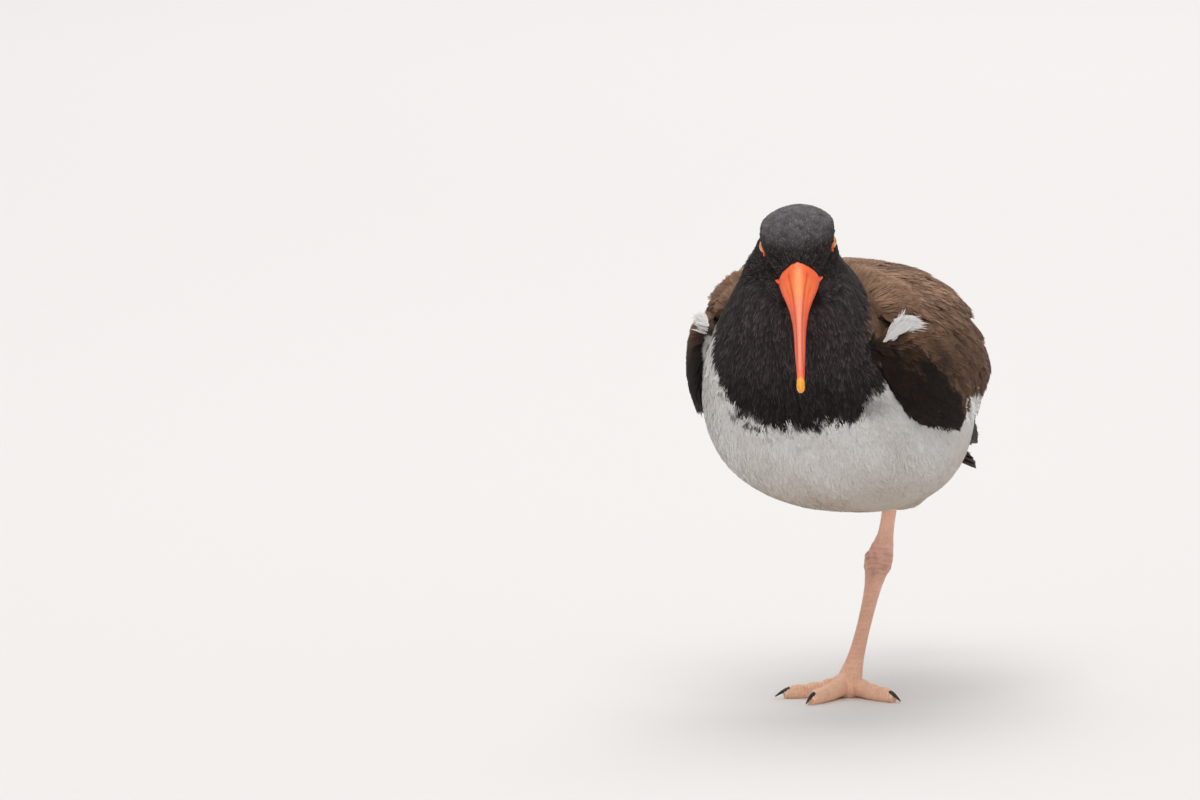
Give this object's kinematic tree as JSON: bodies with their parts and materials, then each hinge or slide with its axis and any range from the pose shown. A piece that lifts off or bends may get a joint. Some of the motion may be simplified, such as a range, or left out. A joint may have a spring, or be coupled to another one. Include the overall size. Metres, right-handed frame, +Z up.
{
  "type": "american oystercatcher",
  "caption": "Life-size wader at rest on one leg, head drawn in and turned, long red-orange bill lowered, folded brown wings, black hood and white belly.",
  "frame": {"origin": "on the floor, at the flat sole under the pad of the standing left foot", "axes": "+Z up; the bird faces -Y, with its tail towards +Y and its left side towards +X"},
  "size_m": [0.138, 0.3106, 0.2444],
  "materials": {
    "hood": "soft matt feathers, sooty black",
    "back": "soft matt feathers, warm brown",
    "belly": "soft matt feathers, white",
    "flight": "smooth matt feathers, dark brown",
    "bill": "smooth horn, red-orange with a yellow tip",
    "iris": "wet, glossy, yellow iris and black pupil",
    "lid": "bare skin ring, orange-red",
    "skin": "scaly bare skin, pale flesh pink",
    "claw": "smooth horn, black"
  },
  "bodies": {
    "root": {"head": "hood", "neck": "hood", "torso": "belly", "mantle": "back", "tail": "flight", "wing_left": "flight", "wing_right": "flight", "bill_upper": "bill", "bill_lower": "bill", "eye_left": "iris", "eye_right": "iris", "eyelid_left": "lid", "eyelid_right": "lid", "leg_left_tibia": "skin", "leg_left_ankle": "skin", "leg_left_tarsus": "skin", "foot_left": "skin", "toe_inner": "skin", "toe_middle": "skin", "toe_outer": "skin", "claw_inner": "claw", "claw_middle": "claw", "claw_outer": "claw", "leg_right_drawn_up": "skin"}
  },
  "joints": []
}
